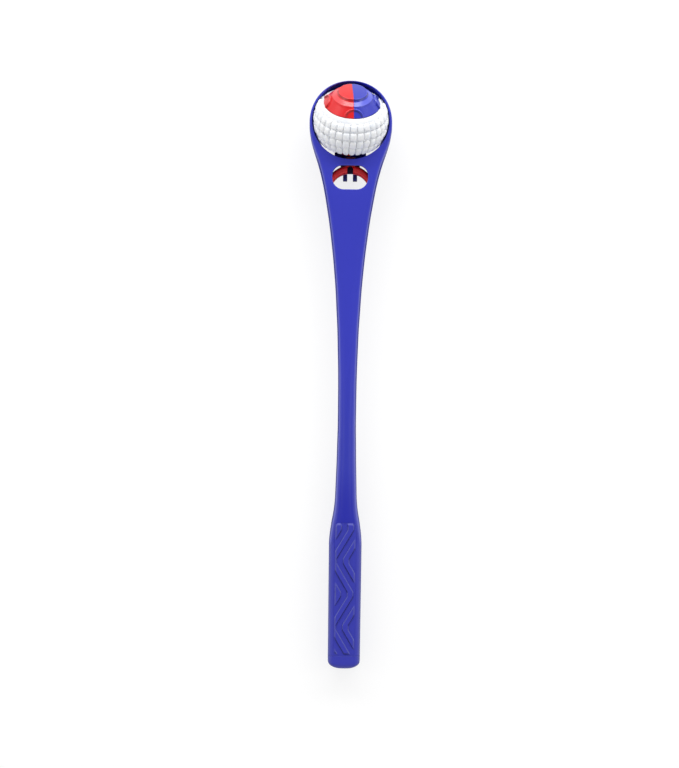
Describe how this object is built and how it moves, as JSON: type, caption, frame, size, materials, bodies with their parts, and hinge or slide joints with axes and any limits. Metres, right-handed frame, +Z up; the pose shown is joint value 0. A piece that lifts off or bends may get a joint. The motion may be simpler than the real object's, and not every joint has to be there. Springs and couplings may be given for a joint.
{
  "type": "dog ball thrower",
  "caption": "Long hand-held thrower: a spoon-shaped cup with a catch lever in its neck, a slim shaft, a square grip with zigzag pads, and a treaded ball lying in the cup.",
  "frame": {"origin": "middle of the part's box, on the plane it lies on", "axes": "+Y along the shaft towards the cup, +X to the right seen from the open side of the cup, +Z up out of the cup"},
  "size_m": [0.0694, 0.4964, 0.0656],
  "materials": {
    "body_blue": "satin moulded ABS",
    "grip_blue": "moulded, with raised zigzag bars",
    "lever_red": "glossy moulded",
    "steel": "plain steel pins, spring wire and screws",
    "belt_white": "soft white rubber tread",
    "core_red": "glossy moulded",
    "core_blue": "glossy moulded"
  },
  "bodies": {
    "thrower": {"front_shell": "body_blue", "rear_shell": "body_blue", "end_cap": "body_blue", "grip_panel_front": "grip_blue", "grip_panel_rear": "grip_blue", "lever_pin_left": "steel", "lever_pin_right": "steel", "lever_spring": "steel", "shell_screw_1": "steel", "shell_screw_2": "steel", "shell_screw_3": "steel", "shell_screw_4": "steel"},
    "lever": {"release_lever": "lever_red"},
    "ball": {"ball_belt": "belt_white", "ball_core_red": "core_red", "ball_core_blue": "core_blue"}
  },
  "joints": [
    {"name": "lever_press", "type": "hinge", "parent": "thrower", "child": "lever", "pos_m": [0, 0.16145, 0.028], "axis": [-1, 0, 0], "range_deg": [0, 6], "stiffness_Nm_per_rad": 0.05},
    {"name": "ball_lift", "type": "slide", "parent": "thrower", "child": "ball", "axis": [0, 0, 1], "range_m": [0, 0.09]}
  ]
}
